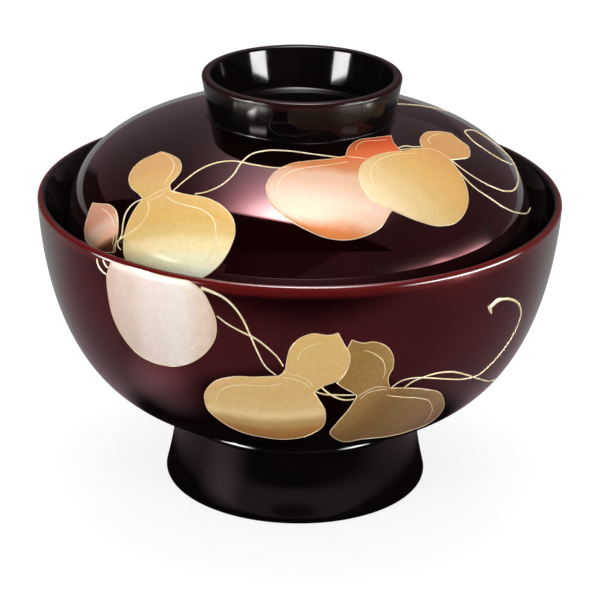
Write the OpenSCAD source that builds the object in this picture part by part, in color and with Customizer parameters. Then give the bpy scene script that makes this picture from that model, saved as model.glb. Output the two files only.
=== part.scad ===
// Soup bowl with a lid: turned wooden cores under lacquer skins, with a foot and a grip turned
// as rings of their own. The axis is Z, the table is z = 0, and the lid is drawn closed.

/* [Bowl] */
// Diameter over the mouth
mouth_d = 127; // [120:0.5:136]
// Height of the mouth above the table
bowl_h = 74.6; // [68:0.1:84]
// Thickness of the lip
lip_t = 2; // [1.6:0.1:2.6]
// Lean of the outside at the lip, in degrees off the vertical
lip_lean = 3; // [1:0.5:6]
// Rise of the underside where it leaves the foot, in degrees
base_rise = 4.5; // [2:0.5:8]
// Thickness of the wall towards the base
bowl_wall = 4.2; // [3.4:0.1:5.5]
// Thickness of the floor over the foot's socket
floor_t = 3; // [2.4:0.1:5]

/* [Foot] */
// Height of the foot up to the seam under the bowl
foot_h = 21.5; // [17:0.5:26]
// Diameter at the seam
foot_neck_d = 59.8; // [54:0.2:64]
// Diameter at the table
foot_base_d = 64.8; // [60:0.2:70]
// Lean of the side at the table, in degrees off the vertical
foot_lean = 13; // [6:1:18]
// Thickness of the standing wall
foot_wall = 3.4; // [2.8:0.1:4.5]
// Rounding of the outer bottom edge
foot_round = 1.4; // [0.8:0.1:1.7]
// Rounding of the inner bottom edge
foot_inner_round = 0.8; // [0.5:0.1:1]
// Thickness of the disc that closes the foot's top
foot_disc_t = 4.5; // [3:0.5:6]
// Fillet between the disc and the standing wall
foot_fillet = 3; // [1:0.5:5]

/* [Lid] */
// Open gap all round between the bowl's lip and the lid
lid_gap = 5; // [4:0.1:7]
// Depth of the lid's edge below the mouth
lid_sink = 10.1; // [8:0.1:13]
// Height of the dome from the lid's edge to the grip's seam
dome_h = 29.7; // [24:0.1:36]
// Fall of the dome where it leaves the grip, in degrees
crown_fall = 11; // [6:1:18]
// Thickness of the lid's edge
lid_edge_t = 2.4; // [2:0.1:3]
// Thickness of the lid's wall
lid_wall = 3; // [2.4:0.1:4]
// Thickness of the crown under the grip's socket
crown_t = 2.6; // [2:0.1:4]

/* [Grip] */
// Height of the grip above the seam
grip_h = 10.1; // [7:0.1:14]
// Diameter at the seam
grip_neck_d = 44.8; // [38:0.2:52]
// Diameter over the flared lip
grip_lip_d = 48.3; // [45.5:0.1:55]
// Thickness of the grip's wall at its lip
grip_wall = 2.3; // [2:0.1:3]
// Thickness of the grip's wall at the seam
grip_base_wall = 3.3; // [2.6:0.1:4.2]
// Rounding of both edges of the grip's lip
grip_round = 0.8; // [0.4:0.05:0.95]
// Thickness of the disc that closes the grip's bottom
grip_disc_t = 2.2; // [1.6:0.1:3.5]
// Fillet between the disc and the grip's wall
grip_fillet = 1.75; // [0.75:0.25:3]

/* [Fits] */
// Depth of the foot's socket in the bowl
foot_socket = 2; // [1:0.1:3]
// Depth of the grip's socket in the lid
grip_socket = 2.3; // [1.5:0.1:3]
// Glue gap round the foot and the grip in their sockets
glue_gap = 0.1; // [0.05:0.05:0.2]
// Gap between the closed lid's edge and its seat
seat_gap = 0.3; // [0.2:0.05:0.5]
// Step of the bowl's inside under the lid's edge
ledge = 1; // [0.8:0.1:2]
// Rounding of that step
ledge_round = 4; // [2:0.5:6]
// Thickness of the lacquer with its ground, on each side of a core
skin_t = 0.5; // [0.3:0.05:0.6]

/* [Hidden] */

// Points along a curve and an arc, and the steps round the axis
curve_steps = 22;
arc_steps = 8;
turn_steps = 160;
// Overrun of a cut past the surface that it opens
overrun = 1;

// Reach of the curves' handles: of the side's height or width, from each of its ends
bowl_side_shares = [0.49, 0.7];
foot_side_shares = [0.42, 0.28];
dome_shares = [0.81, 0.51];

tame_brown = [0.24, 0.06, 0.05];
lacquer_black = [0.03, 0.03, 0.035];
bare_wood = [0.66, 0.5, 0.33];

// Radii
mouth_r = mouth_d / 2;
foot_neck_r = foot_neck_d / 2;
foot_base_r = foot_base_d / 2;
grip_neck_r = grip_neck_d / 2;
grip_lip_r = grip_lip_d / 2;
lid_r = mouth_r - lip_t - lid_gap;

// Heights above the table
foot_top_z = foot_h + foot_socket;
floor_z = foot_top_z + floor_t;
recess_z = foot_top_z - foot_disc_t;
lid_edge_z = bowl_h - lid_sink;
crown_z = lid_edge_z + dome_h;
grip_seat_z = crown_z - grip_socket;
grip_floor_z = grip_seat_z + grip_disc_t;
ceiling_z = grip_seat_z - crown_t;
grip_top_z = crown_z + grip_h;

// Steps in the section: r along an angle from the horizontal, r along a lean off the vertical,
// and the unit step to the left of the travel v
function polar(r, a) = [r * cos(a), r * sin(a)];
function leaning(r, a) = [r * sin(a), r * cos(a)];
function left(v) = [-v[1], v[0]] / norm(v);

// Point and direction of travel at share t of the cubic curve with the control points c
function curve_point(c, t) =
    pow(1 - t, 3) * c[0] + 3 * pow(1 - t, 2) * t * c[1] + 3 * (1 - t) * t * t * c[2] + pow(t, 3) * c[3];
function curve_travel(c, t) =
    pow(1 - t, 2) * (c[1] - c[0]) + 2 * (1 - t) * t * (c[2] - c[1]) + t * t * (c[3] - c[2]);

// Points of a curve moved to its left by off, and of an arc about m; first = 1 skips the start
function curve(c, off, first = 0) = [
    for (i = [first:curve_steps])
        let (t = i / curve_steps) curve_point(c, t) + off * left(curve_travel(c, t))
];
function arc(m, r, a0, a1, first = 0) = [
    for (i = [first:arc_steps]) m + polar(r, a0 + (a1 - a0) * i / arc_steps)
];
function backwards(points) = [for (i = [len(points) - 1:-1:0]) points[i]];

// Centre of a round of radius r at height z that touches a wall from side = 1, its right, or
// side = -1, its left. The wall passes through p and leans by a off the vertical.
function round_centre(p, a, z, r, side) =
    [p[0] + ((z - p[1]) * sin(a) + side * r) / cos(a), z];

// Outside of the bowl, from the foot's seam up to the lip
lip_m = [mouth_r - lip_t / 2, bowl_h - lip_t / 2];
lip_start = lip_m + polar(lip_t / 2, -lip_lean);
bowl_base = [foot_neck_r, foot_h];
bowl_side_h = lip_start[1] - foot_h;
bowl_side_w = lip_start[0] - foot_neck_r;
bowl_side = [
    bowl_base,
    bowl_base + polar(bowl_side_shares[1] * bowl_side_w, base_rise),
    lip_start - leaning(bowl_side_shares[0] * bowl_side_h, lip_lean),
    lip_start
];

// Outside of the dome, from the lid's edge up to the grip's seam
lid_edge_m = [lid_r - lid_edge_t / 2, lid_edge_z + lid_edge_t / 2];
dome_start = [lid_r, lid_edge_m[1]];
dome_end = [grip_neck_r, crown_z];
dome = [
    dome_start,
    dome_start + [0, dome_shares[1] * (crown_z - dome_start[1])],
    dome_end + polar(dome_shares[0] * (lid_r - grip_neck_r), -crown_fall),
    dome_end
];

// Hollow of the lid, from its flat ceiling down to the edge
hollow_end = [lid_r - lid_edge_t, lid_edge_m[1]];
hollow = [
    [grip_neck_r - lid_wall, ceiling_z],
    [dome[2][0] - lid_wall, ceiling_z],
    [hollow_end[0], dome[1][1] - lid_wall / 2],
    hollow_end
];

// The flare inside the bowl touches the lip's round and keeps seat_gap to the lid's edge
seat_reach = lid_edge_t / 2 + seat_gap;
lip_way = lip_m - lid_edge_m;
flare = 90 - atan2(lip_way[1], lip_way[0]) - asin((lip_t / 2 + seat_reach) / norm(lip_way));
seat = lid_edge_m + polar(seat_reach, -flare);

// Well of the bowl, from the rounded step under the lid's edge down to the flat floor
well_r = seat[0] - ledge;
ledge_m = [
    well_r + ledge_round,
    seat[1] - (ledge_round - (ledge_round - ledge) * cos(flare)) / sin(flare)
];
well = [
    [well_r, ledge_m[1]],
    [well_r, bowl_side[2][1] - bowl_wall],
    [bowl_side[1][0] - bowl_wall, floor_z],
    [foot_neck_r - bowl_wall, floor_z]
];

// Sections of the finished bowl and lid, moved into the wood by off
function bowl_outside(off) = curve(bowl_side, off);
function bowl_lip(off, first) = arc(lip_m, lip_t / 2 - off, -lip_lean, 180 - flare, first);
function bowl_inside(off) = concat(
    arc(ledge_m, ledge_round - off, 180 - flare, 180),
    curve(well, off, 1),
    [[0, floor_z - off]]
);
function lid_inside(off) = concat([[0, ceiling_z + off]], curve(hollow, off));
function lid_edge(off, last) = arc(lid_edge_m, lid_edge_t / 2 - off, 180, 360, 1);
function lid_outside(off, first) = curve(dome, off, first);

// Side of the foot from its seam to the table, and the straight wall of its recess
foot_edge_m = [foot_base_r - foot_round, foot_round];
foot_side_end = foot_edge_m + polar(foot_round, foot_lean);
foot_side = [
    bowl_base,
    bowl_base - [0, foot_side_shares[0] * foot_h],
    foot_side_end + leaning(foot_side_shares[1] * foot_h, -foot_lean),
    foot_side_end
];
recess_mouth = [foot_base_r - foot_wall, 0];
recess_taper = atan((recess_mouth[0] - foot_neck_r + foot_wall) / recess_z);
foot_inner_m = round_centre(recess_mouth, -recess_taper, foot_inner_round, foot_inner_round, 1);
foot_fillet_m = round_centre(recess_mouth, -recess_taper, recess_z - foot_fillet, foot_fillet, -1);

// The grip's leaning walls, thinner towards the lip, and the rounds on them
grip_flare = atan((grip_lip_r - grip_neck_r) / grip_h);
grip_inner = dome_end - [grip_base_wall, 0];
grip_taper = atan((grip_lip_r - grip_wall - grip_inner[0]) / grip_h);
grip_round_z = grip_top_z - grip_round;
grip_outer_m = round_centre(dome_end, grip_flare, grip_round_z, grip_round, -1);
grip_inner_m = round_centre(grip_inner, grip_taper, grip_round_z, grip_round, 1);
grip_fillet_m = round_centre(grip_inner, grip_taper, grip_floor_z + grip_fillet, grip_fillet, -1);

module turn(points) {
    rotate_extrude($fn = turn_steps) polygon(points);
}

// Sockets for the glued rings, with an overrun through the surface that they open
module foot_socket_cut() {
    translate([0, 0, foot_h - overrun])
        cylinder(h = foot_socket + overrun, r = foot_neck_r + glue_gap, $fn = turn_steps);
}

module grip_socket_cut() {
    translate([0, 0, grip_seat_z])
        cylinder(h = grip_socket + overrun, r = grip_neck_r + glue_gap, $fn = turn_steps);
}

module bowl_core() {
    color(bare_wood) difference() {
        turn(concat(
            bowl_outside(skin_t), bowl_lip(skin_t, 1), bowl_inside(skin_t), [[0, foot_h + skin_t]]
        ));
        foot_socket_cut();
    }
}

module bowl_outer_lacquer() {
    color(tame_brown) difference() {
        turn(concat(bowl_outside(0), backwards(bowl_outside(skin_t))));
        foot_socket_cut();
    }
}

// The inner skin laps over the lip and ends where the outer one starts
module bowl_inner_lacquer() {
    color(lacquer_black) turn(concat(
        bowl_lip(0, 0), bowl_inside(0), backwards(bowl_inside(skin_t)), backwards(bowl_lip(skin_t, 0))
    ));
}

module foot_ring() {
    color(lacquer_black) turn(concat(
        curve(foot_side, 0),
        arc(foot_edge_m, foot_round, foot_lean, -90, 1),
        arc(foot_inner_m, foot_inner_round, -90, recess_taper - 180),
        arc(foot_fillet_m, foot_fillet, recess_taper, 90),
        [[0, recess_z], [0, foot_top_z], [foot_neck_r, foot_top_z]]
    ));
}

module lid_core() {
    color(bare_wood) difference() {
        turn(concat(
            lid_inside(skin_t), lid_edge(skin_t), lid_outside(skin_t, 1), [[0, crown_z - skin_t]]
        ));
        grip_socket_cut();
    }
}

module lid_outer_lacquer() {
    color(tame_brown) difference() {
        turn(concat(lid_outside(0, 0), backwards(lid_outside(skin_t, 0))));
        grip_socket_cut();
    }
}

module lid_inner_lacquer() {
    color(lacquer_black) turn(concat(
        lid_inside(0), lid_edge(0), backwards(lid_edge(skin_t)), backwards(lid_inside(skin_t))
    ));
}

module grip_ring() {
    color(lacquer_black) turn(concat(
        [[0, grip_seat_z], [grip_neck_r, grip_seat_z], dome_end],
        arc(grip_outer_m, grip_round, -grip_flare, 90),
        arc(grip_inner_m, grip_round, 90, 180 - grip_taper),
        arc(grip_fillet_m, grip_fillet, -grip_taper, -90),
        [[0, grip_floor_z]]
    ));
}

bowl_core();
bowl_outer_lacquer();
bowl_inner_lacquer();
foot_ring();
lid_core();
lid_outer_lacquer();
lid_inner_lacquer();
grip_ring();
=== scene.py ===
# Lacquer soup bowl with its lid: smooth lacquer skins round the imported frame, raised gold
# gourds and tendrils on them, and a small studio.
import bisect
from math import acos, asin, atan, atan2, cos, degrees, inf, pi, radians, sin, sqrt, tan

import bmesh
import bpy
from mathutils import Matrix, Vector
from mathutils.geometry import delaunay_2d_cdt


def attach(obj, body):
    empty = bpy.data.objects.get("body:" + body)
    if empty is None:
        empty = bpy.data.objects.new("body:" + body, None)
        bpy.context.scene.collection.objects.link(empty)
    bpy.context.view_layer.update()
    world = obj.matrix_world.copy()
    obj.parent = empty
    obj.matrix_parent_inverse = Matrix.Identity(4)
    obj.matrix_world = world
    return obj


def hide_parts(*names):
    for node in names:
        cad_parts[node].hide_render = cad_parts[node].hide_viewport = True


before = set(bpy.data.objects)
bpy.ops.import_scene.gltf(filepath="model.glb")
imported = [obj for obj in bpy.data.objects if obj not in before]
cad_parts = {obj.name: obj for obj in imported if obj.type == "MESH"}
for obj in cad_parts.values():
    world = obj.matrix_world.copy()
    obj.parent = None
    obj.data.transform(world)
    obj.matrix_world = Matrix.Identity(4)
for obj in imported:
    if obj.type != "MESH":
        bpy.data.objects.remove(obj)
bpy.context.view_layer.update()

MM = 0.001
UP = Vector((0, 0, 1))
WHITE = (1, 1, 1, 1)

# Driving sizes of the part's source, in millimetres and degrees
MOUTH_R = 63.5
BOWL_H = 74.6
LIP_T = 2.0
LIP_LEAN = 3.0
BASE_RISE = 4.5
BOWL_WALL = 4.2
FLOOR_Z = 26.5
FOOT_H = 21.5
FOOT_TOP_Z = 23.5
FOOT_NECK_R = 29.9
FOOT_BASE_R = 32.4
FOOT_LEAN = 13.0
FOOT_WALL = 3.4
FOOT_ROUND = 1.4
FOOT_INNER_ROUND = 0.8
FOOT_FILLET = 3.0
RECESS_Z = 19.0
LID_R = 56.5
LID_EDGE_Z = 64.5
LID_EDGE_T = 2.4
LID_WALL = 3.0
CROWN_Z = 94.2
CROWN_FALL = 11.0
CEILING_Z = 89.3
GRIP_H = 10.1
GRIP_NECK_R = 22.4
GRIP_LIP_R = 24.15
GRIP_WALL = 2.3
GRIP_BASE_WALL = 3.3
GRIP_ROUND = 0.8
GRIP_FILLET = 1.75
GRIP_SEAT_Z = 91.9
GRIP_FLOOR_Z = 94.1
GLUE_GAP = 0.1
SEAT_GAP = 0.3
LEDGE = 1.0
LEDGE_ROUND = 4.0
SKIN_T = 0.5
BOWL_SIDE_SHARES = (0.49, 0.7)
FOOT_SIDE_SHARES = (0.42, 0.28)
DOME_SHARES = (0.81, 0.51)

# How deep an added piece is set in the lacquer that carries it
SUNK = 0.05
# The low bead near the foot's top, and the hollow round of lacquer at the grip's seam
FOOT_BEAD_Z = 18.8
FOOT_BEAD_R = 1.5
FOOT_BEAD_OUT = 0.2
GRIP_SEAM = 0.5

# Steps of a curve, an arc and a full turn
CURVE_STEPS = 72
ARC_STEPS = 14
TURN_STEPS = 288
# A straight side longer than HOLD_FROM gets a point more at HOLD from each of its ends
HOLD_FROM = 1.5
HOLD = 0.08
# The angles past which an edge is sharp, on a turned piece and on the gold
SHARP_ANGLE = radians(35)
GOLD_SHARP_ANGLE = radians(60)
# What counts as lying on the axis, in millimetres, and what counts as nothing
ON_AXIS = 0.001
TINY = 1e-12

# The photograph's camera: size of the picture, lens, distance, height of its aim, elevation, roll
# of the object's axis to the right, and the pixel that the aim lands on
PICTURE = 600
SENSOR = 36.0
LENS = 162.06
CAMERA_WAY = 0.6653
CAMERA_AIM_Z = 0.04885
CAMERA_RISE = radians(22.0)
CAMERA_ROLL = radians(1.03)
AIM_PIXEL = (298.24, 288.25)


def polar(r, a):
    """The step of length r at a degrees from the horizontal, in the section."""
    return Vector((r * cos(radians(a)), r * sin(radians(a))))


def leaning(r, a):
    """The step of length r that leans a degrees off the vertical."""
    return Vector((r * sin(radians(a)), r * cos(radians(a))))


def curve(c, off=0.0, start=0.0):
    """Points of the cubic curve with the control points c, moved to the travel's left by off."""
    points = []
    for i in range(CURVE_STEPS + 1):
        t = start + (1 - start) * i / CURVE_STEPS
        s = 1 - t
        at = s**3 * c[0] + 3 * s * s * t * c[1] + 3 * s * t * t * c[2] + t**3 * c[3]
        go = s * s * (c[1] - c[0]) + 2 * s * t * (c[2] - c[1]) + t * t * (c[3] - c[2])
        points.append(at + off * Vector((-go.y, go.x)).normalized())
    return points


def arc(m, r, a0, a1):
    """Points of the arc of radius r about m, from a0 to a1 degrees."""
    return [m + polar(r, a0 + (a1 - a0) * i / ARC_STEPS) for i in range(ARC_STEPS + 1)]


def round_centre(p, a, z, r, side):
    """Centre at height z of a round that touches, on its side, the wall through p leaning by a."""
    a = radians(a)
    return Vector((p.x + ((z - p.y) * sin(a) + side * r) / cos(a), z))


# Sections, as in the part's source
LIP_M = Vector((MOUTH_R - LIP_T / 2, BOWL_H - LIP_T / 2))
LIP_START = LIP_M + polar(LIP_T / 2, -LIP_LEAN)
BOWL_BASE = Vector((FOOT_NECK_R, FOOT_H))
BOWL_SIDE_SIZE = LIP_START - BOWL_BASE
BOWL_SIDE = [
    BOWL_BASE,
    BOWL_BASE + polar(BOWL_SIDE_SHARES[1] * BOWL_SIDE_SIZE.x, BASE_RISE),
    LIP_START - leaning(BOWL_SIDE_SHARES[0] * BOWL_SIDE_SIZE.y, LIP_LEAN),
    LIP_START,
]
LID_EDGE_M = Vector((LID_R - LID_EDGE_T / 2, LID_EDGE_Z + LID_EDGE_T / 2))
DOME_START = Vector((LID_R, LID_EDGE_M.y))
DOME_END = Vector((GRIP_NECK_R, CROWN_Z))
DOME = [
    DOME_START,
    DOME_START + Vector((0, DOME_SHARES[1] * (CROWN_Z - DOME_START.y))),
    DOME_END + polar(DOME_SHARES[0] * (LID_R - GRIP_NECK_R), -CROWN_FALL),
    DOME_END,
]
HOLLOW_END = Vector((LID_R - LID_EDGE_T, LID_EDGE_M.y))
HOLLOW = [
    Vector((GRIP_NECK_R - LID_WALL, CEILING_Z)),
    Vector((DOME[2].x - LID_WALL, CEILING_Z)),
    Vector((HOLLOW_END.x, DOME[1].y - LID_WALL / 2)),
    HOLLOW_END,
]
SEAT_REACH = LID_EDGE_T / 2 + SEAT_GAP
LIP_WAY = LIP_M - LID_EDGE_M
FLARE = (
    90
    - degrees(atan2(LIP_WAY.y, LIP_WAY.x))
    - degrees(asin((LIP_T / 2 + SEAT_REACH) / LIP_WAY.length))
)
SEAT = LID_EDGE_M + polar(SEAT_REACH, -FLARE)
WELL_R = SEAT.x - LEDGE
LEDGE_DROP = LEDGE_ROUND - (LEDGE_ROUND - LEDGE) * cos(radians(FLARE))
LEDGE_M = Vector((WELL_R + LEDGE_ROUND, SEAT.y - LEDGE_DROP / sin(radians(FLARE))))
WELL = [
    Vector((WELL_R, LEDGE_M.y)),
    Vector((WELL_R, BOWL_SIDE[2].y - BOWL_WALL)),
    Vector((BOWL_SIDE[1].x - BOWL_WALL, FLOOR_Z)),
    Vector((FOOT_NECK_R - BOWL_WALL, FLOOR_Z)),
]
# Share of each skin's curve that the socket of the glued ring cuts away
FOOT_CUT = GLUE_GAP / (3 * (BOWL_SIDE[1].x - BOWL_SIDE[0].x))
GRIP_CUT = GLUE_GAP / (3 * (DOME[2].x - DOME[3].x))


def bowl_outer():
    return curve(BOWL_SIDE, 0, FOOT_CUT) + curve(BOWL_SIDE, SKIN_T, FOOT_CUT)[::-1]


def bowl_inner():
    """The skin inside the bowl, from the end of its lap over the lip to the axis and back."""
    def side(off):
        return (
            arc(LIP_M, LIP_T / 2 - off, -LIP_LEAN, 180 - FLARE)
            + arc(LEDGE_M, LEDGE_ROUND - off, 180 - FLARE, 180)
            + curve(WELL, off)[1:]
            + [Vector((0, FLOOR_Z - off))]
        )
    return side(0) + side(SKIN_T)[::-1]


def lid_outer():
    back = DOME[::-1]
    return curve(back, 0, GRIP_CUT)[::-1] + curve(back, -SKIN_T, GRIP_CUT)


def lid_inner():
    """The skin inside the lid, from the axis to the end of its lap round the edge and back."""
    def side(off):
        return (
            [Vector((0, CEILING_Z + off))]
            + curve(HOLLOW, off)
            + arc(LID_EDGE_M, LID_EDGE_T / 2 - off, 180, 360)[1:]
        )
    return side(0) + side(SKIN_T)[::-1]


def foot():
    edge_m = Vector((FOOT_BASE_R - FOOT_ROUND, FOOT_ROUND))
    end = edge_m + polar(FOOT_ROUND, FOOT_LEAN)
    side = [
        BOWL_BASE,
        BOWL_BASE - Vector((0, FOOT_SIDE_SHARES[0] * FOOT_H)),
        end + leaning(FOOT_SIDE_SHARES[1] * FOOT_H, -FOOT_LEAN),
        end,
    ]
    mouth = Vector((FOOT_BASE_R - FOOT_WALL, 0))
    taper = degrees(atan((mouth.x - FOOT_NECK_R + FOOT_WALL) / RECESS_Z))
    inner_m = round_centre(mouth, -taper, FOOT_INNER_ROUND, FOOT_INNER_ROUND, 1)
    fillet_m = round_centre(mouth, -taper, RECESS_Z - FOOT_FILLET, FOOT_FILLET, -1)
    return (
        curve(side)
        + arc(edge_m, FOOT_ROUND, FOOT_LEAN, -90)[1:]
        + arc(inner_m, FOOT_INNER_ROUND, -90, taper - 180)
        + arc(fillet_m, FOOT_FILLET, taper, 90)
        + [Vector((0, RECESS_Z)), Vector((0, FOOT_TOP_Z)), Vector((FOOT_NECK_R, FOOT_TOP_Z))]
    )


def grip():
    flare = degrees(atan((GRIP_LIP_R - GRIP_NECK_R) / GRIP_H))
    inner = DOME_END - Vector((GRIP_BASE_WALL, 0))
    taper = degrees(atan((GRIP_LIP_R - GRIP_WALL - inner.x) / GRIP_H))
    top = CROWN_Z + GRIP_H - GRIP_ROUND
    outer_m = round_centre(DOME_END, flare, top, GRIP_ROUND, -1)
    inner_m = round_centre(inner, taper, top, GRIP_ROUND, 1)
    fillet_m = round_centre(inner, taper, GRIP_FLOOR_Z + GRIP_FILLET, GRIP_FILLET, -1)
    return (
        [Vector((0, GRIP_SEAT_Z)), Vector((GRIP_NECK_R, GRIP_SEAT_Z)), DOME_END]
        + arc(outer_m, GRIP_ROUND, -flare, 90)
        + arc(inner_m, GRIP_ROUND, 90, 180 - taper)
        + arc(fillet_m, GRIP_FILLET, -taper, -90)
        + [Vector((0, GRIP_FLOOR_Z))]
    )


def seam(corner, one, two, r):
    """The section of lacquer run into the corner between two ways, hollow with the radius r."""
    one, two = one.normalized(), two.normalized()
    half = one.angle(two) / 2
    m = corner + (one + two).normalized() * r / sin(half)
    reach = r / tan(half)
    a0 = degrees(atan2(*(corner + reach * one - m).yx))
    a1 = degrees(atan2(*(corner + reach * two - m).yx))
    a1 += 360 * round((a0 - a1) / 360)
    back = -SUNK * (one + two)
    hidden = [corner + reach * two + back, corner + back, corner + reach * one + back]
    return arc(m, r, a0, a1) + hidden


def bead(corner, r, out):
    """The section of a low bead of the radius r that swells from an upright wall below a point."""
    turn = degrees(acos((r - out) / r))
    way = polar(r, turn)
    back = corner - Vector((SUNK, 0))
    return arc(corner - way, r, -turn, turn) + [back, back - Vector((0, 2 * way.y))]


def bridge(shape, one, two):
    """Faces between two rings of points. A ring may be a single point."""
    count = max(len(one), len(two))
    if count == 1:
        return
    for i in range(count):
        j = (i + 1) % count
        corners = [one[i % len(one)], one[j % len(one)], two[j % len(two)], two[i % len(two)]]
        shape.faces.new(list(dict.fromkeys(corners)))


def linked(name, data):
    """A new object of the data, in the scene."""
    piece = bpy.data.objects.new(name, data)
    bpy.context.scene.collection.objects.link(piece)
    return piece


def finished(name, shape, sharp_angle, finish, body):
    """An object of the shape that rides on a body, with the material of its finish. The finish's
    slot is not used.
    """
    material, slot = finish
    bmesh.ops.recalc_face_normals(shape, faces=shape.faces)
    mesh = bpy.data.meshes.new(name)
    shape.to_mesh(mesh)
    shape.free()
    mesh.shade_smooth()
    mesh.set_sharp_from_angle(angle=sharp_angle)
    mesh.materials.append(material)
    piece = linked(name, mesh)
    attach(piece, body)
    return piece


def held(section):
    """The closed section with the points more that keep the shading of a long straight side
    straight where a round meets it."""
    points = []
    for a, b in zip(section, section[1:] + section[:1]):
        points.append(a)
        if (b - a).length > HOLD_FROM:
            step = HOLD * (b - a).normalized()
            points += [a + step, b - step]
    return points


def turned(name, section, finish, body, node=None):
    """A smooth solid turned from the closed section, in place of a CAD node if one is named."""
    shape = bmesh.new()
    rings = []
    for p in held(section):
        if p.x < ON_AXIS:
            rings.append([shape.verts.new((0, 0, p.y * MM))])
            continue
        ring = []
        for i in range(TURN_STEPS):
            a = 2 * pi * i / TURN_STEPS
            at = (p.x * MM * cos(a), p.x * MM * sin(a), p.y * MM)
            ring.append(shape.verts.new(at))
        rings.append(ring)
    for one, two in zip(rings, rings[1:] + rings[:1]):
        bridge(shape, one, two)
    piece = finished(name, shape, SHARP_ANGLE, finish, body)
    if node:
        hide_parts(node)


# Camera
def made_camera():
    data = bpy.data.cameras.new("camera")
    data.sensor_width = SENSOR
    data.lens = LENS
    data.shift_x = 0.5 - AIM_PIXEL[0] / PICTURE
    data.shift_y = AIM_PIXEL[1] / PICTURE - 0.5
    data.clip_start = 0.01
    camera = linked("camera", data)
    back = CAMERA_WAY * cos(CAMERA_RISE)
    place = Vector((0, -back, CAMERA_AIM_Z + CAMERA_WAY * sin(CAMERA_RISE)))
    camera.matrix_world = (
        Matrix.Translation(place)
        @ Matrix.Rotation(pi / 2 - CAMERA_RISE, 4, "X")
        @ Matrix.Rotation(CAMERA_ROLL, 4, "Z")
    )
    bpy.context.scene.camera = camera
    return camera


camera = made_camera()
bpy.context.view_layer.update()


def sight(pixel):
    """Where the camera stands and the direction in which it sees a pixel, in millimetres."""
    x = (pixel[0] / PICTURE - 0.5 + camera.data.shift_x) * SENSOR
    y = (0.5 - pixel[1] / PICTURE + camera.data.shift_y) * SENSOR
    way = camera.matrix_world.to_3x3() @ Vector((x, y, -LENS))
    return camera.matrix_world.translation / MM, way.normalized()


class Wall:
    """The outside of a turned piece. A place on it is flat: x is its turn about Z from the front
    times the wall's middle radius, and y is the way along the section, both in millimetres."""

    def __init__(self, section):
        self.section = section
        self.way = [0.0]
        for a, b in zip(section, section[1:]):
            self.way.append(self.way[-1] + (b - a).length)
        self.radius = sum(p.x for p in section) / len(section)
        slopes = [(b - a).normalized() for a, b in zip(section, section[1:])]
        self.slope = [slopes[0]]
        self.slope += [(a + b).normalized() for a, b in zip(slopes, slopes[1:])]
        self.slope.append(slopes[-1])

    def place(self, flat, lift=0.0):
        """The point in metres at a flat place, lifted off the wall, and the wall's normal."""
        turn = flat[0] / self.radius
        i = min(max(bisect.bisect(self.way, flat[1]) - 1, 0), len(self.section) - 2)
        share = (flat[1] - self.way[i]) / (self.way[i + 1] - self.way[i])
        p = self.section[i].lerp(self.section[i + 1], share)
        go = self.slope[i].lerp(self.slope[i + 1], min(max(share, 0), 1)).normalized()
        out = Vector((go.y, -go.x)) if go.y > 0 or go.x > 0 else Vector((-go.y, go.x))
        side = Vector((sin(turn), -cos(turn), 0))
        normal = out.x * side + out.y * UP
        return (p.x * side + p.y * UP + lift * normal) * MM, normal

    def struck(self, pixel):
        """The flat place that the camera sees through a pixel, or None past the outline."""
        eye, way = sight(pixel)
        best = None
        for i, (p, q) in enumerate(zip(self.section, self.section[1:])):
            if abs(q.y - p.y) < TINY:
                continue
            k = (q.x - p.x) / (q.y - p.y)
            r0 = p.x + k * (eye.z - p.y)
            r1 = k * way.z
            a = way.x**2 + way.y**2 - r1**2
            b = eye.x * way.x + eye.y * way.y - r0 * r1
            c = eye.x**2 + eye.y**2 - r0**2
            if b * b < a * c:
                continue
            for root in (-1, 1):
                t = (-b + root * sqrt(b * b - a * c)) / a
                z = eye.z + t * way.z
                if r0 + t * r1 < 0 or not min(p.y, q.y) <= z <= max(p.y, q.y):
                    continue
                at = eye + t * way
                share = (z - p.y) / (q.y - p.y)
                along = self.way[i] + share * (self.way[i + 1] - self.way[i])
                flat = Vector((atan2(at.x, -at.y) * self.radius, along))
                if self.place(flat)[1].dot(way) < 0 and (best is None or t < best[0]):
                    best = (t, flat)
        return best and best[1]

    def spot(self, pixel):
        """The point in metres that the camera sees on the wall through a pixel."""
        return self.place(self.struck(pixel))[0]


def smooth(points, step):
    """A smooth open way through three or more points, in steps of about the given length."""
    points = [Vector(p) for p in points]
    gaps = [(b - a).length for a, b in zip(points, points[1:])]
    slopes = [(b - a) / g for a, b, g in zip(points, points[1:], gaps)]
    middle = [
        (one * g2 + two * g1) / (g1 + g2)
        for one, two, g1, g2 in zip(slopes, slopes[1:], gaps, gaps[1:])
    ]
    ends = [(3 * slopes[0] - middle[0]) / 2, (3 * slopes[-1] - middle[-1]) / 2]
    slopes = [ends[0], *middle, ends[1]]
    way = [points[0]]
    for i, gap in enumerate(gaps):
        count = max(2, round(gap / step))
        for k in range(1, count + 1):
            t = k / count
            a = (1 + 2 * t) * (1 - t) ** 2 * points[i] + t * t * (3 - 2 * t) * points[i + 1]
            b = t * (1 - t) ** 2 * slopes[i] - t * t * (1 - t) * slopes[i + 1]
            way.append(a + gap * b)
    return way


def on_wall(wall, pixels, step=1.0):
    """The flat places that the camera sees along a smooth way through the pixels."""
    places = [wall.struck(p) for p in smooth(pixels, step)]
    return [p for p in places if p is not None]


def edge_distance(p, ring):
    """Distance from p to a closed ring of flat points."""
    best = inf
    for a, b in zip(ring, ring[1:] + ring[:1]):
        side = b - a
        t = min(max((p - a).dot(side) / max(side.length_squared, TINY), 0), 1)
        best = min(best, (p - a - t * side).length_squared)
    return sqrt(best)


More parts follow.
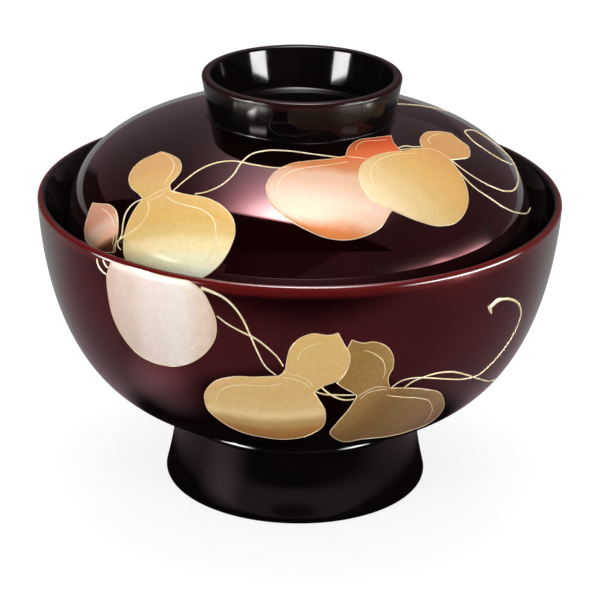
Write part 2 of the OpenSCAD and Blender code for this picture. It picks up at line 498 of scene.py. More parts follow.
def within(p, ring):
    """Whether p lies inside a closed ring of flat points."""
    odd = False
    for a, b in zip(ring, ring[1:] + ring[:1]):
        if (a.y > p.y) != (b.y > p.y) and p.x < a.x + (p.y - a.y) * (b.x - a.x) / (b.y - a.y):
            odd = not odd
    return odd


# Raised gold, in millimetres: the width of a leaf's rounded edge, how far in from the outline
# points lie along it, and the spacing of the points further in
EDGE_ROUND = 0.3
EDGE_STEPS = (0.08, 0.3)
GRID = 1.6
# How near the outline both may come, in shares of their way in and of the rounded edge
EDGE_CLEAR = 0.8
GRID_CLEAR = 2
# The distance at which two points of a leaf are one
MERGE = 1e-5
# The steps along a brush line, in pixels, and its section in shares of its width and its height
STROKE_STEP = 1.5
STROKE_SECTION = ((-0.5, 0), (-0.4, 0.62), (0, 1), (0.4, 0.62), (0.5, 0))


def leaf(name, carrier, runs, height, finish):
    """A thin raised leaf on a wall, within an outline of smooth runs that meet in corners."""
    wall, body = carrier
    ring = []
    for run in runs:
        ring += on_wall(wall, run)[:-1]

    def clear(p, way):
        return within(p, ring) and edge_distance(p, ring) > way

    inner = []
    for a, b, c in zip(ring[-1:] + ring[:-1], ring, ring[1:] + ring[:1]):
        across = Vector((a.y - c.y, c.x - a.x)).normalized()
        for way in EDGE_STEPS:
            sides = (b + way * across, b - way * across)
            inner += [p for p in sides if clear(p, EDGE_CLEAR * way)]
    low = Vector([min(p[i] for p in ring) for i in (0, 1)])
    high = Vector([max(p[i] for p in ring) for i in (0, 1)])
    for i in range(int((high.x - low.x) / GRID) + 1):
        for j in range(int((high.y - low.y) / GRID) + 1):
            p = low + GRID * Vector((i + 0.5 * (j % 2), j))
            if clear(p, GRID_CLEAR * EDGE_ROUND):
                inner.append(p)
    found, _, faces, *_ = delaunay_2d_cdt(ring + inner, [], [list(range(len(ring)))], 1, MERGE)
    lifts = []
    for p in found:
        share = min(edge_distance(p, ring) / EDGE_ROUND, 1)
        lifts.append(height * sqrt(1 - (1 - share) ** 2))
    shape = bmesh.new()
    top = [shape.verts.new(wall.place(p, lift)[0]) for p, lift in zip(found, lifts)]
    bottom = [shape.verts.new(wall.place(p, -SUNK)[0]) for p in found]
    uses = {}
    for face in faces:
        shape.faces.new([top[i] for i in face])
        shape.faces.new([bottom[i] for i in reversed(face)])
        for pair in zip(face, face[1:] + face[:1]):
            uses[frozenset(pair)] = None if frozenset(pair) in uses else pair
    for a, b in filter(None, uses.values()):
        shape.faces.new([top[b], top[a], bottom[a], bottom[b]])
    bmesh.ops.delete(shape, geom=[v for v in shape.verts if not v.link_faces], context="VERTS")
    finished(name, shape, GOLD_SHARP_ANGLE, finish, body)


def strokes(name, carrier, lines, finish):
    """Raised brush lines on a wall. A line is its pixels, its widths at the start, the middle and
    the end, and the heights of its foot and its top, all but the pixels in millimetres."""
    wall, body = carrier
    shape = bmesh.new()
    for pixels, (start, middle, end), foot_lift, top_lift in lines:
        stations = [wall.place(p) for p in on_wall(wall, pixels, STROKE_STEP)]
        last = len(stations) - 1
        rings = []
        for i, (at, normal) in enumerate(stations):
            ahead, behind = stations[min(i + 1, last)][0], stations[max(i - 1, 0)][0]
            side = normal.cross(ahead - behind).normalized()
            t = 2 * i / last
            tip = start if t < 1 else end
            width = tip + (middle - tip) * sin(min(t, 2 - t) * pi / 2)
            ring = []
            for across, up in STROKE_SECTION:
                lift = foot_lift + up * (top_lift - foot_lift)
                ring.append(shape.verts.new(at + (across * width * side + lift * normal) * MM))
            rings.append(ring)
        for one, two in zip(rings, rings[1:]):
            bridge(shape, one, two)
        shape.faces.new(rings[0])
        shape.faces.new(rings[-1])
    finished(name, shape, GOLD_SHARP_ANGLE, finish, body)


# Materials. Those of new pieces come with the record's slot. Noise is taken over one of two spans.
NOISE_SPAN = (0.3, 0.7)
NOISE_CORE = (0.35, 0.65)


def srgb(red, green, blue):
    """A colour from the values 0 to 255 that it shows on a screen."""
    def linear(v):
        v /= 255
        return v / 12.92 if v <= 0.04045 else ((v + 0.055) / 1.055) ** 2.4
    return (linear(red), linear(green), linear(blue), 1.0)


class Graph:
    """A node tree that is built by calls: each makes a node and returns it or its output."""

    def __init__(self, tree):
        self.tree = tree
        tree.nodes.clear()

    def add(self, kind, inputs=None, **settings):
        """A node with its settings, and with values or links by its inputs' names or numbers."""
        node = self.tree.nodes.new("ShaderNode" + kind)
        for key, value in settings.items():
            setattr(node, key, value)
        for key, value in (inputs or {}).items():
            if isinstance(value, bpy.types.Node):
                value = value.outputs[0]
            if isinstance(value, bpy.types.NodeSocket):
                self.tree.links.new(value, node.inputs[key])
            else:
                node.inputs[key].default_value = value
        return node

    def calc(self, operation, a, b=0.0, clamp=False):
        return self.add("Math", {0: a, 1: b}, operation=operation, use_clamp=clamp)

    def plus(self, a, b, clamp=False):
        return self.calc("ADD", a, b, clamp)

    def times(self, a, b):
        return self.calc("MULTIPLY", a, b)

    def vector(self, operation, a, b=(0, 0, 0)):
        """A vector operation: the number of one that gives a number, and else the vector."""
        node = self.add("VectorMath", {0: a, 1: b}, operation=operation)
        number = operation in ("LENGTH", "DISTANCE", "DOT_PRODUCT")
        return node.outputs["Value" if number else "Vector"]

    def scaled(self, colour, share):
        return self.add("VectorMath", {0: colour, "Scale": share}, operation="SCALE")

    def span(self, value, low, high, to_low=0.0, to_high=1.0):
        """The value eased from one span onto another."""
        ends = {"From Min": low, "From Max": high, "To Min": to_low, "To Max": to_high}
        return self.add("MapRange", {"Value": value, **ends}, interpolation_type="SMOOTHSTEP")

    def ramp(self, value, stops):
        """A colour ramp through the stops, each a position and a colour as on a screen."""
        node = self.add("ValToRGB", {0: value})
        band = node.color_ramp
        band.interpolation = "EASE"
        while len(band.elements) < len(stops):
            band.elements.new(1.0)
        for element, (position, *colour) in zip(band.elements, stops):
            element.position = position
            element.color = srgb(*colour)
        return node

    def blend(self, share, one, two):
        node = self.add("Mix", {"Factor": share, "A": one, "B": two}, data_type="RGBA")
        return node.outputs["Result"]

    def place(self):
        """The shaded point, in metres."""
        return self.add("TexCoord").outputs["Object"]

    def part(self, vector, axis):
        return self.add("SeparateXYZ", {0: vector}).outputs[axis]

    def noise(self, scale, detail=3.0, at=None):
        """Noise with about that many waves in a metre."""
        at = at or self.place()
        return self.add("TexNoise", {"Vector": at, "Scale": scale, "Detail": detail}).outputs[0]

    def glow(self, strength, colour=WHITE, kind="Emission"):
        return self.add(kind, {"Color": colour, "Strength": strength})

    def either(self, share, one, two):
        return self.add("MixShader", {0: share, 1: one, 2: two})

    def show(self, shader, what="Material"):
        self.add("Output" + what, {"Surface": shader})

    def principled(self, inputs):
        self.show(self.add("BsdfPrincipled", inputs))


def new_material(name):
    material = bpy.data.materials.new(name)
    material.use_nodes = True
    return material, Graph(material.node_tree)


RIM_RED = srgb(100, 22, 21)
# How much lighter the brown's clouds get, how far the rim's line wavers in millimetres, and the
# share of light that is mirrored in the lacquer's depth at the rim
CLOUD_LIGHT = 1.25
RIM_WAVER = 0.8
RIM_METALLIC = 0.15
# How far the gold's shading wavers, in shares of its way, and how deep its grain is in millimetres
GOLD_WAVER = 0.12
GRAIN_DEPTH = 0.03
PORE_DEPTH = 0.1


def tame_material(name, deep, thin, rim, scatter):
    """Clear brown lacquer over red: deep where it is thick, redder where it runs thin, and another
    colour at a rim. Each of these is a height and a colour, and the rim's change has two heights.
    The lacquer mirrors light in its depth, apart from the share that it scatters."""
    material, graph = new_material(name)
    height = graph.part(graph.place(), 2)
    brown = graph.blend(graph.span(height, deep[0] * MM, thin[0] * MM), deep[1], thin[1])
    cloud = graph.span(graph.noise(55), *NOISE_CORE, 1.0, CLOUD_LIGHT)
    edge = graph.plus(height, graph.times(graph.noise(420), RIM_WAVER * MM))
    share = graph.span(edge, rim[0] * MM, rim[1] * MM)
    graph.principled({
        "Base Color": graph.blend(share, graph.scaled(brown, cloud), rim[2]),
        "Metallic": graph.span(share, 0.0, 1.0, 1 - scatter, RIM_METALLIC),
        "Roughness": graph.span(graph.noise(240), *NOISE_SPAN, 0.05, 0.08),
        "IOR": 1.5,
        "Specular IOR Level": 0.2,
        "Coat Weight": 1.0,
        "Coat Roughness": 0.012,
        "Coat IOR": 1.5,
    })
    return material, "tame_lacquer"


def black_material(name, band=None, shine=0.6, soft=0.0):
    """Black lacquer, duller by shine and rougher by soft. A band is another colour that comes in
    over a span of radius and one of height, in millimetres, up to a share."""
    material, graph = new_material(name)
    cloud = graph.span(graph.noise(70), *NOISE_CORE)
    colour = graph.blend(cloud, srgb(8, 7, 7), srgb(15, 9, 9))
    if band:
        radii, heights, most, band_colour = band
        at = graph.place()
        radius = graph.vector("LENGTH", graph.vector("MULTIPLY", at, (1, 1, 0)))
        side = graph.span(radius, *[r * MM for r in radii])
        level = graph.span(graph.part(at, 2), *[z * MM for z in heights], 0.0, most)
        colour = graph.blend(graph.times(side, level), colour, band_colour)
    graph.principled({
        "Base Color": colour,
        "Roughness": graph.span(graph.noise(240), *NOISE_SPAN, 0.02 + soft, 0.045 + soft),
        "IOR": 1.5,
        "Specular IOR Level": shine,
    })
    return material, "black_lacquer"


def gold_material(name, start, end, stops, mottle):
    """Gold powder set in lacquer, coloured along the way from one point to another through stops
    that hold painted highlight and painted shade as well as the paint.
    """
    material, graph = new_material(name)
    way = end - start
    step = graph.vector("SUBTRACT", graph.place(), start)
    along = graph.vector("DOT_PRODUCT", step, way / way.length_squared)
    waver = graph.times(graph.calc("SUBTRACT", graph.noise(90), 0.5), GOLD_WAVER)
    colour = graph.ramp(graph.plus(along, waver, True), stops)
    grain = graph.noise(2600, 2.0)
    patch = graph.noise(700, 4.0)
    speckle = graph.times(graph.plus(grain, patch), 0.5)
    shade = graph.span(speckle, *NOISE_SPAN, 1 - mottle, 1 + mottle)
    bump = {"Strength": 0.35, "Distance": GRAIN_DEPTH * MM, "Height": grain}
    graph.principled({
        "Base Color": graph.scaled(colour, shade),
        "Roughness": graph.span(patch, *NOISE_SPAN, 0.45, 0.57),
        "Specular IOR Level": 0.2,
        "Normal": graph.add("Bump", bump),
        "Coat Weight": 0.3,
        "Coat Roughness": 0.12,
    })
    return material, "tame_lacquer"


def line_material():
    """Pale gold of the raised brush lines."""
    material, graph = new_material("pale_gold_lines")
    share = graph.span(graph.noise(160), *NOISE_CORE)
    graph.principled({
        "Base Color": graph.blend(share, srgb(238, 216, 162), srgb(246, 232, 198)),
        "Metallic": 0.05,
        "Roughness": graph.span(graph.noise(900), *NOISE_SPAN, 0.3, 0.45),
    })
    return material, "tame_lacquer"


def wood_material():
    """Pale turned zelkova: rings about an axis at its side, drawn out along the grain, with
    pores."""
    material, graph = new_material("turned_wood")
    at = graph.place()
    off = graph.add("Mapping", {"Vector": at, "Location": (0.09, 0, 0.02), "Scale": (1, 0.12, 1)})
    rings = {"Vector": off, "Scale": 95, "Distortion": 3.5, "Detail": 3, "Detail Scale": 1.6}
    rings = graph.add("TexWave", rings, wave_type="RINGS", rings_direction="Y")
    pores = graph.noise(2400, 2.0, graph.add("Mapping", {"Vector": at, "Scale": (1, 0.06, 1)}))
    colour = graph.ramp(rings, [(0.0, 205, 170, 122), (0.6, 190, 150, 102), (1.0, 150, 108, 66)])
    bump = {"Strength": 0.3, "Distance": PORE_DEPTH * MM, "Height": pores}
    graph.principled({
        "Base Color": graph.blend(graph.span(pores, 0.58, 0.7), colour, srgb(120, 82, 48)),
        "Roughness": graph.span(pores, *NOISE_SPAN, 0.5, 0.65),
        "Normal": graph.add("Bump", bump),
    })
    return material


# Skins, foot, grip and wood
tame_bowl = tame_material(
    "tame_lacquer_bowl",
    deep=(28, srgb(74, 20, 27)),
    thin=(60, srgb(108, 26, 30)),
    rim=(BOWL_H - 3.1, BOWL_H - 0.6, RIM_RED),
    scatter=0.03,
)
tame_lid = tame_material(
    "tame_lacquer_lid",
    deep=(92, srgb(62, 23, 26)),
    thin=(76, srgb(80, 20, 23)),
    rim=(LID_EDGE_Z + 5, LID_EDGE_Z + 1, srgb(24, 13, 14)),
    scatter=0.07,
)
black_plain = black_material("black_lacquer")
# Red over the bowl's lip from its top outwards, and brown outside the grip's lip
band = ((LIP_M.x - 0.1, LIP_M.x + 0.2), (LIP_M.y - 1.5, LIP_M.y - 0.5), 1.0, RIM_RED)
black_lip = black_material("black_lacquer_bowl", band)
top = CROWN_Z + GRIP_H
band = ((GRIP_LIP_R - 1.4, GRIP_LIP_R - 0.7), (top - 3.0, top - 1.0), 0.7, srgb(44, 20, 20))
black_grip = black_material("black_lacquer_grip", band, shine=0.18, soft=0.06)
wood = wood_material()

turned("bowl_skin_outside", bowl_outer(), tame_bowl, "bowl", "bowl_outer_lacquer")
turned("bowl_skin_inside", bowl_inner(), black_lip, "bowl", "bowl_inner_lacquer")
turned("foot_turned", foot(), black_plain, "bowl", "foot_ring")
turned("lid_skin_outside", lid_outer(), tame_lid, "lid", "lid_outer_lacquer")
turned("lid_skin_inside", lid_inner(), black_plain, "lid", "lid_inner_lacquer")
turned("grip_turned", grip(), black_grip, "lid", "grip_ring")
low_bead = bead(Vector((FOOT_NECK_R, FOOT_BEAD_Z)), FOOT_BEAD_R, FOOT_BEAD_OUT)
turned("foot_seam", low_bead, black_plain, "bowl")
grip_way = Vector((GRIP_LIP_R - GRIP_NECK_R, GRIP_H))
hollow = seam(DOME_END, grip_way, DOME[2] - DOME_END, GRIP_SEAM)
turned("grip_seam", hollow, black_grip, "lid")
for node in ("bowl_core", "lid_core"):
    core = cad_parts[node]
    core.data.materials.clear()
    core.data.materials.append(wood)

# How far up the lip's round a picture may reach, in degrees
LIP_TURN = 62

# The pictures. Pixels are those of the photograph, and each lies on the bowl or on the lid.
bowl_wall = Wall(curve(BOWL_SIDE) + arc(LIP_M, LIP_T / 2, -LIP_LEAN, LIP_TURN)[1:])
lid_wall = Wall(curve(DOME))
ON_BOWL = (bowl_wall, "bowl")
ON_LID = (lid_wall, "lid")
line_gold = line_material()

# Heights of the leaves, and how far the lines drawn on and round them stand out of them or in
HIGH = 0.18
LOW = 0.11
LINE_OVER = 0.05
LINE_UNDER = 0.03
RIM_LINE_OVER = 0.04
VINE_LIFT = 0.16
# Widths of lines at their start, middle and end
LINE = (0.14, 0.24, 0.14)
RIM_LINE = (0.2, 0.2, 0.2)
VINE = (0.32, 0.5, 0.32)


def gourd(name, carrier, height, outline, shade_way, stops, inner_lines, mottle=0.06):
    """A gourd: its raised leaf, its pale outline and the pale lines drawn on it. A run of the
    outline ends where the next starts. The colour goes through the stops on the way from one
    pixel to another, and the mottle lightens and darkens it. The stops hold the gourd's paint
    together with painted highlight and painted shade, as said at each gourd."""
    runs = [run + after[:1] for run, after in zip(outline, outline[1:] + outline[:1])]
    start, end = [carrier[0].spot(pixel) for pixel in shade_way]
    gold = gold_material(name + "_gold", start, end, stops, mottle)
    leaf(name, carrier, runs, height, gold)
    lines = [(run, RIM_LINE, -SUNK, height + RIM_LINE_OVER) for run in runs]
    lines += [(line, LINE, height - LINE_UNDER, height + LINE_OVER) for line in inner_lines]
    strokes(name + "_lines", carrier, lines, line_gold)


def tendrils(name, carrier, lines):
    """Raised tendrils: lines, each with its widths and its pixels."""
    strokes(name, carrier, [(way, widths, -SUNK, VINE_LIFT) for widths, way in lines], line_gold)


# The lower bulb, near white at the bottom, is partly painted reflection of a side light over cream
# paint.
gourd("gourd_lid_left", ON_LID, LOW, [
    [(161, 152), (171, 155), (180, 161), (181, 170), (176, 178), (170, 185)],
    [(171, 191), (188, 195), (206, 198), (222, 206), (233, 219), (235, 231), (230, 248),
     (220, 264), (204, 277), (184, 284), (158, 283), (136, 272), (125, 257), (124, 240),
     (129, 221), (136, 208)],
    [(143, 199), (139, 194), (131, 187), (129, 179), (133, 169), (143, 160), (154, 155)],
], ((188, 165), (166, 282)), [
    (0.0, 214, 164, 104), (0.3, 219, 178, 108), (0.55, 225, 182, 102), (0.64, 230, 194, 120),
    (0.76, 252, 231, 172), (0.86, 255, 246, 200), (1.0, 255, 254, 236),
], [
    [(162, 154), (169, 157), (174, 164), (173, 171), (167, 180), (165, 185)],
    [(169, 188), (160, 191), (152, 196), (145, 199)],
    [(166, 193), (158, 197), (150, 200)],
    [(166, 196), (173, 201), (188, 206), (204, 211), (213, 219), (216, 232), (214, 247),
     (206, 263)],
])
# The dark brown at its bottom, by the bowl's rim, is painted shade.
gourd("gourd_lid_side", ON_LID, LOW, [
    [(93, 203), (101, 204), (110, 205), (116, 211), (118, 220), (118, 230), (116, 243)],
    [(115, 252), (104, 252), (93, 247)],
    [(86, 240), (85, 229), (88, 216)],
], ((98, 206), (103, 250)), [
    (0.0, 214, 156, 124), (0.3, 215, 152, 120), (0.62, 241, 197, 174), (0.82, 255, 192, 154),
    (0.94, 150, 90, 60), (1.0, 90, 40, 24),
], [
    [(102, 209), (108, 213), (113, 221), (114, 231), (113, 245)],
])
# The pale cream middle is partly painted highlight from overhead, over orange paint.
gourd("gourd_lid_middle", ON_LID, LOW, [
    [(346, 156), (349, 147), (357, 141), (374, 138)],
    [(391, 136), (393, 142)],
    [(399, 149), (410, 165), (410, 190), (390, 213), (381, 227), (365, 236), (346, 240),
     (327, 238), (305, 229), (285, 217), (271, 203), (266, 187), (272, 175), (288, 165),
     (311, 161), (332, 159)],
], ((385, 140), (373, 240)), [
    (0.0, 214, 78, 26), (0.22, 216, 104, 52), (0.44, 202, 122, 68), (0.55, 217, 174, 139),
    (0.8, 236, 198, 174), (0.89, 231, 190, 160), (1.0, 212, 122, 58),
], [
    [(356, 151), (357, 146), (363, 142), (375, 141), (387, 140)],
    [(348, 162), (330, 165), (307, 168), (293, 171), (281, 179), (277, 190), (281, 204)],
    [(347, 157), (358, 158), (370, 160)],
])
gourd("gourd_lid_right", ON_LID, HIGH, [
    [(423, 148), (420, 140), (424, 134), (436, 132)],
    [(451, 134), (460, 141), (469, 149), (469, 157), (460, 159)],
    [(450, 160), (458, 171), (465, 184), (468, 199), (465, 212), (455, 223), (440, 226),
     (421, 222), (403, 215)],
    [(389, 209), (373, 202), (362, 190), (358, 177), (361, 166), (371, 158), (388, 153),
     (407, 151)],
], ((375, 200), (460, 150)), [
    (0.0, 236, 212, 168), (0.22, 224, 192, 132), (0.4, 217, 178, 110), (0.5, 219, 172, 98),
    (0.7, 214, 164, 92), (0.87, 206, 152, 92), (1.0, 210, 158, 96),
], [
    [(431, 145), (428, 140), (433, 136), (442, 135)],
    [(423, 149), (436, 151), (446, 157), (450, 160)],
    [(416, 154), (391, 156), (376, 163), (371, 173), (373, 185), (382, 198)],
])
# The pale middle is partly painted highlight, over pinkish paint.
gourd("gourd_bowl_side", ON_BOWL, LOW, [
    [(111, 261.5), (122, 265.2), (137, 269.6), (153, 273.7), (170, 277.4)],
    [(188, 280.8), (201, 290), (210, 305), (216, 323), (215, 338), (207, 351), (194, 361),
     (177, 366), (159, 364), (141, 356), (124, 338), (113, 316), (108, 292), (107, 277)],
], ((108, 300), (216, 335)), [
    (0.0, 216, 184, 168), (0.2, 220, 195, 181), (0.43, 239, 221, 212), (0.7, 244, 232, 221),
    (0.91, 236, 210, 192), (1.0, 222, 190, 170),
], [
    [(180, 286.5), (189, 292), (197, 303), (203, 318), (204, 331), (197, 344), (187, 352)],
])
# The pale band about two thirds along is painted highlight, and the colour darkens towards the
# bottom.
gourd("gourd_bowl_middle", ON_BOWL, HIGH, [
    [(338, 333), (332, 335), (311, 334), (299, 339), (290, 349), (287, 360), (284, 372)],
    [(279, 376), (255, 377), (231, 377), (214, 382), (205, 393), (207, 407), (219, 419),
     (238, 430), (264, 436.6), (287, 438.6), (310, 434), (324, 424), (325, 411), (319, 400)],
    [(314, 392), (323, 386), (338, 380), (348, 368), (350, 355), (344, 344)],
], ((262, 335), (275, 440)), [
    (0.0, 227, 188, 114), (0.45, 230, 189, 123), (0.6, 238, 200, 136), (0.68, 252, 218, 160),
    (0.77, 206, 164, 104), (0.86, 184, 128, 66), (1.0, 160, 106, 52),
], [
    [(298, 360), (300, 353), (307, 347), (315, 344), (322, 343)],
    [(288, 373), (299, 376), (308, 380), (313, 386)],
    [(283, 377), (294, 379), (306, 384), (311, 389)],
    [(282, 383), (271, 385), (253, 385), (235, 385), (224, 388), (218, 394), (216, 402)],
])
gourd("gourd_bowl_right", ON_BOWL, LOW, [
    [(352, 340), (347, 352), (348, 368)],
    [(337, 383), (344, 388), (352, 392)],
    [(357, 396), (349, 409), (337, 423), (330, 433), (340, 440.4), (363, 438.6), (390, 435.6),
     (414, 429), (433, 420), (444, 405), (441, 394), (424, 389), (405, 388)],
    [(390, 388), (388, 378), (393, 367), (393, 356), (386, 346), (375, 342), (362, 343)],
], ((345, 380), (440, 410)), [
    (0.0, 160, 120, 60), (0.2, 168, 129, 70), (0.45, 142, 103, 56), (0.6, 143, 112, 66),
    (0.83, 152, 117, 81), (1.0, 140, 104, 80),
], [
    [(364, 350), (375, 354), (383, 361), (385, 369), (383, 378)],
    [(358, 396), (366, 391), (375, 387), (387, 387)],
    [(360, 399), (367, 393), (377, 390), (387, 389)],
    [(387, 395), (403, 397), (419, 398), (429, 401), (432, 408), (430, 415), (424, 422)],
], mottle=0.16)
tendrils("tendrils_lid", ON_LID, [
    (VINE,
     [(173, 191), (188, 178), (201, 169), (216, 163), (231, 161), (255, 165), (279, 168),
      (292, 167)]),
    (VINE,
     [(195, 194), (206, 192), (220, 186), (234, 174), (241, 163), (252, 154), (264, 151),
      (289, 151), (312, 154), (343, 158)]),
    (VINE, [(143, 199), (133, 204), (126, 213), (123, 224), (122, 234), (118, 246), (121, 250)]),
    (VINE, [(148, 201), (149, 209), (145, 219), (137, 228), (123, 237), (116, 243), (113, 253)]),
    (VINE,
     [(451, 160), (465, 171), (479, 180), (493, 187), (505, 191), (514, 190), (518, 183),
      (517, 171), (511, 159), (499, 147), (484, 136), (471, 130), (465, 131), (470, 138),
      (484, 149), (500, 159), (513, 165)]),
    (VINE,
     [(451, 162), (462, 175), (475, 188), (490, 198), (505, 208), (518, 213), (527, 213),
      (531, 205), (531, 195)]),
    ((0.2, 0.25, 0.1), [(397, 104), (415, 105), (434, 108), (450, 112), (464, 118)]),
    ((0.3, 0.4, 0.3), [(398, 148), (406, 146), (414, 147), (423, 146)]),
    ((0.2, 0.3, 0.2), [(398, 150), (408, 149), (423, 149)]),
])
tendrils("tendrils_bowl", ON_BOWL, [
    ((0.4, 0.6, 0.3), [(97, 258.5), (98.5, 266), (103, 272), (108, 275)]),
    ((0.4, 0.6, 0.3), [(103, 259.5), (105, 264.5), (108, 268)]),
    ((0.9, 0.5, 0.25),
     [(201, 288), (212, 292), (224, 298), (234, 307), (243, 320), (250, 335), (257, 351),
      (266, 367), (276, 375)]),
    (VINE, [(217, 316), (226, 323), (240, 331), (256, 339), (270, 350), (278, 358), (283, 366)]),
    (VINE, [(321, 387), (328, 393), (337, 398), (346, 400), (354, 399)]),
    (VINE, [(314, 391), (323, 394), (337, 395), (354, 395)]),
    ((0.3, 0.45, 0.75),
     [(391, 388), (401, 381), (413, 378), (429, 378), (447, 379), (464, 379), (478, 375),
      (489, 366), (500, 354), (510, 340), (518, 324), (521, 311), (518, 303), (509, 299),
      (499, 300)]),
    ((0.7, 1.5, 1.2), [(503, 299), (497, 301), (492, 305.5), (489.5, 307)]),
    ((1.5, 1.0, 0.35), [(489.5, 305), (490.2, 309), (491.5, 313.5)]),
    (VINE,
     [(404, 388), (412, 382), (424, 377), (438, 373), (454, 372), (467, 375), (479, 379),
      (490, 381), (499, 377), (505, 371)]),
])


# Studio, in metres and degrees. The lacquer mirrors a graded sheet overhead, a low bright card at
# either side, two far windows, and a floor and a room dimmer than they look. Plain soft lamps and
# the world light all else.
# The tint of what is mirrored dimly
ROOM_TINT = (1.06, 0.74, 0.82, 1.0)
LID_MIDDLE = Vector((0, 0, 0.085))
# The floor: its grey where it sends light on, and its grey and its glow as the camera sees it
FLOOR_HALF = 4.0
FLOOR_PALE = 0.55
FLOOR_SHOWN = 0.3
FLOOR_GLOW = 0.8
FLOOR_FRONT_Y = (-0.185, -0.125)
FLOOR_FRONT_LIGHT = 0.02
FLOOR_LIGHT = 0.2
FLOOR_BACK_Y = (0.0, 0.1)
FLOOR_BACK_LIGHT = 0.07
# A painted shadow round the foot and a painted pool of light, on the floor as mirrors see it
SHADE_AT = (0, -0.03, 0)
SHADE_SIZE = (0.058, 0.068, 1)
SHADE_EDGE = (0.92, 1.2)
SHADE_LIGHT = 0.03
POOL_AT = (-0.066, -0.046, 0)
POOL_R = 0.034
POOL_LIGHT = 0.4
# The sheet, its brightest spot and how that spreads, and its soft front edge as a way across it
SHEET_Z = 0.885
SHEET_HALF = 2.2
SHEET_Y = (-0.9, 3.0)
SHEET_SPOT = (0.0, -0.05, SHEET_Z)
SHEET_SPREAD = (0.2, 0.19, 1)
SHEET_LIGHT = 27.0
SHEET_DIM = 0.13
SHEET_WHITE = (0.02, 0.35)
SHEET_EDGE = (0.55, 0.835, 0)
SHEET_EDGE_WAY = (-0.178, -0.128)
# The cards: where they dim upwards and, in shares of their width, outwards
CARD_WAY = 0.2
CARD_H = 0.13
CARD_TOP = 0.066
CARD_FALL = 0.009
CARD_ENDS = (0.2, 0.46)
CARD_LIGHT = 22.0
CARD_DIM = 0.14
SPOT_H = 0.075
SPOT_R = (0.003, 0.03)
WINDOW_WAY = 0.95
WINDOW_RISE = 11
WINDOW_SIZE = (0.36, 0.09)
WINDOW_LIGHT = 60.0
# The room's light on what is matt, and the least that is mirrored
ROOM_LIGHT = 0.5
ROOM_DIM = 0.007
# The mirrored room's back, right, left and front. Each is a product of spans, and a span is a
# direction, the two cosines from it between which the light changes, and the light at both.
ROOM_SIDES = (
    (
        ((0.73, 0.34, 0.58), -0.08, 0.02, 0, 1),
        ((0, 1, 0), 0.2, 0.8, 0, 0.13),
        ((1, 0, 0), -0.2, 0.6, 1, 0.15),
    ),
    (((0.84, -0.11, -0.53), -0.03, 0.03, 0, 0.12),),
    (((-0.84, -0.1, -0.53), -0.03, 0.03, 0, 0.01),),
    (((0.34, -0.94, 0), 0.4, 0.85, 0, 0.05),),
)


def out_way(turn, rise=0):
    """The direction at a turn from the front and a rise above the level."""
    turn, rise = radians(turn), radians(rise)
    level = cos(rise)
    return Vector((sin(turn) * level, -cos(turn) * level, sin(rise)))


def around(turn, way, rise):
    """A place in the studio as seen from the middle of the lid."""
    return LID_MIDDLE + way * out_way(turn, rise)


def staged(name, corners, material, mirrored_only=True):
    """A flat stage piece with the given corners, seen only in mirrors or by all."""
    mesh = bpy.data.meshes.new(name)
    mesh.from_pydata(corners, [], [(0, 1, 2, 3)])
    mesh.materials.append(material)
    piece = linked(name, mesh)
    for kind in ("camera", "diffuse", "transmission", "shadow"):
        setattr(piece, "visible_" + kind, not mirrored_only)


def flat(half, front, back, z):
    """The corners of a level rectangle."""
    return [(-half, front, z), (half, front, z), (half, back, z), (-half, back, z)]


def upright(low, turn, width, height):
    """The corners of an upright rectangle that faces a turn, from the middle of its lower edge."""
    half = width / 2 * out_way(turn).cross(UP)
    up = height * UP
    return [low - half, low + half, low + half + up, low - half + up]


def made_floor():
    """A pale floor that keeps the object's shadow. What mirrors it sees it as a dimmer glow: lit
    behind and beside the object, most at the back, dark in front, with a painted shadow close
    round the foot and a painted pool of light at the left."""
    material, graph = new_material("pale_floor")
    at = graph.place()
    depth = graph.part(at, 1)
    lit = graph.span(depth, *FLOOR_FRONT_Y, FLOOR_FRONT_LIGHT, FLOOR_LIGHT)
    lit = graph.plus(lit, graph.span(depth, *FLOOR_BACK_Y, 0.0, FLOOR_BACK_LIGHT))
    off = graph.vector("DIVIDE", graph.vector("SUBTRACT", at, SHADE_AT), SHADE_SIZE)
    lit = graph.times(lit, graph.span(graph.vector("LENGTH", off), *SHADE_EDGE, SHADE_LIGHT, 1.0))
    pool = graph.vector("DISTANCE", at, POOL_AT)
    lit = graph.plus(lit, graph.span(pool, 0.0, POOL_R, POOL_LIGHT, 0.0))
    colour = graph.blend(graph.span(depth, *FLOOR_BACK_Y), ROOM_TINT, WHITE)
    pale, shown = [
        graph.add("BsdfDiffuse", {"Color": (grey, grey, grey, 1)})
        for grey in (FLOOR_PALE, FLOOR_SHOWN)
    ]
    shown = graph.add("AddShader", {0: shown, 1: graph.glow(FLOOR_GLOW)})
    path = graph.add("LightPath")
    seen = graph.either(path.outputs["Is Glossy Ray"], pale, graph.glow(lit, colour))
    graph.show(graph.either(path.outputs["Is Camera Ray"], seen, shown))
    staged("floor", flat(FLOOR_HALF, -FLOOR_HALF, FLOOR_HALF, 0), material, False)


def made_sheet():
    """The sheet of diffusion overhead: brightest at one spot, with a straight front edge."""
    material, graph = new_material("diffusion_sheet")
    at = graph.place()
    off = graph.vector("DIVIDE", graph.vector("SUBTRACT", at, SHEET_SPOT), SHEET_SPREAD)
    x, y = [graph.times(side, side) for side in (graph.part(off, 0), graph.part(off, 1))]
    spot = graph.calc("EXPONENT", graph.times(x, -1.0))
    spot = graph.calc("DIVIDE", spot, graph.plus(y, 1.0))
    lit = graph.plus(graph.times(spot, SHEET_LIGHT), SHEET_DIM)
    way = graph.vector("DOT_PRODUCT", at, SHEET_EDGE)
    lit = graph.times(lit, graph.span(way, *SHEET_EDGE_WAY))
    colour = graph.blend(graph.span(spot, *SHEET_WHITE), ROOM_TINT, WHITE)
    graph.show(graph.glow(lit, colour))
    staged("diffusion_sheet", flat(SHEET_HALF, *SHEET_Y, SHEET_Z), material)


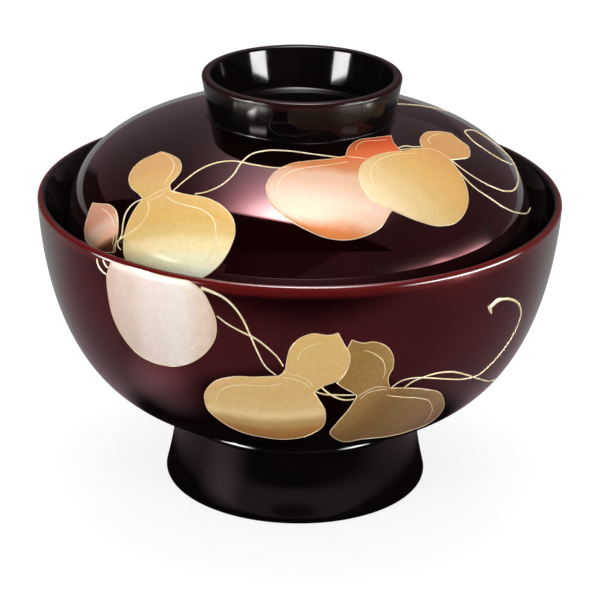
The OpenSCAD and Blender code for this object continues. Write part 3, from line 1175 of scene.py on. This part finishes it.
def card(name, turn, width, spot_turn, spot_light):
    """A low card beside the object: bright below, dim at its top and ends, with one round spot."""
    out = out_way(turn)
    side = out.cross(UP)
    material, graph = new_material(name)
    at = graph.place()
    off = graph.calc("ABSOLUTE", graph.vector("DOT_PRODUCT", at, side))
    ends = graph.span(off, *[share * width for share in CARD_ENDS], CARD_LIGHT, 0.0)
    fall = graph.calc("DIVIDE", graph.calc("SUBTRACT", CARD_TOP, graph.part(at, 2)), CARD_FALL)
    lit = graph.times(graph.calc("MINIMUM", graph.calc("EXPONENT", fall), 1.0), ends)
    spot = CARD_WAY * (out - tan(radians(spot_turn - turn)) * side) + SPOT_H * UP
    reach = graph.vector("DISTANCE", at, spot)
    lit = graph.plus(graph.plus(lit, CARD_DIM), graph.span(reach, *SPOT_R, spot_light, 0.0))
    graph.show(graph.glow(lit))
    staged(name, upright(CARD_WAY * out, turn, width, CARD_H), material)


def window(name, turn):
    """A bright window low at one side of the room, which the grip mirrors over the card's top."""
    material, graph = new_material(name)
    material.cycles.emission_sampling = "NONE"
    graph.show(graph.glow(WINDOW_LIGHT))
    width, height = WINDOW_SIZE
    low = around(turn, WINDOW_WAY, WINDOW_RISE) - height / 2 * UP
    staged(name, upright(low, turn, width, height), material)


def made_world():
    """White where the camera looks. What mirrors the room sees a dim back wall that ends at the
    left, a dimmer right side, and darkness in front."""
    world = bpy.data.worlds.new("studio")
    bpy.context.scene.world = world
    world.use_nodes = True
    graph = Graph(world.node_tree)
    way = graph.add("TexCoord").outputs["Generated"]
    lit = 0.0
    for spans in ROOM_SIDES:
        side = 1.0
        for direction, *span in spans:
            cosine = graph.vector("DOT_PRODUCT", way, direction)
            side = graph.times(graph.span(cosine, *span), side)
        lit = graph.calc("MAXIMUM", side, lit)
    mirrored = graph.glow(graph.plus(lit, ROOM_DIM), ROOM_TINT, "Background")
    room, white = [graph.glow(light, WHITE, "Background") for light in (ROOM_LIGHT, 1.0)]
    path = graph.add("LightPath")
    seen = graph.either(path.outputs["Is Glossy Ray"], room, mirrored)
    through = graph.plus(path.outputs["Is Camera Ray"], path.outputs["Is Transmission Ray"], True)
    graph.show(graph.either(through, seen, white), "World")


def lamp(name, place, size, radiance):
    """A square soft box of even radiance that faces the lid and lights what is matt."""
    data = bpy.data.lights.new(name, "AREA")
    data.shape = "SQUARE"
    data.size = size
    data.energy = radiance * pi * size**2
    light = linked(name, data)
    light.location = place
    light.rotation_euler = (LID_MIDDLE - place).to_track_quat("-Z", "Y").to_euler()
    light.visible_camera = False
    light.visible_glossy = False


made_floor()
made_sheet()
card("right_card", 66, width=0.26, spot_turn=62, spot_light=3.5)
card("left_card", -60, width=0.22, spot_turn=-58, spot_light=90.0)
made_world()
lamp("top_box", around(180, 1.05, 80), size=0.8, radiance=2.6)
lamp("left_box", around(-45, 1.2, 18), size=0.5, radiance=5.0)
lamp("right_box", around(45, 1.2, 18), size=0.5, radiance=5.0)
window("left_window", -53)
window("right_window", 60)

bpy.context.scene.view_settings.view_transform = "Standard"
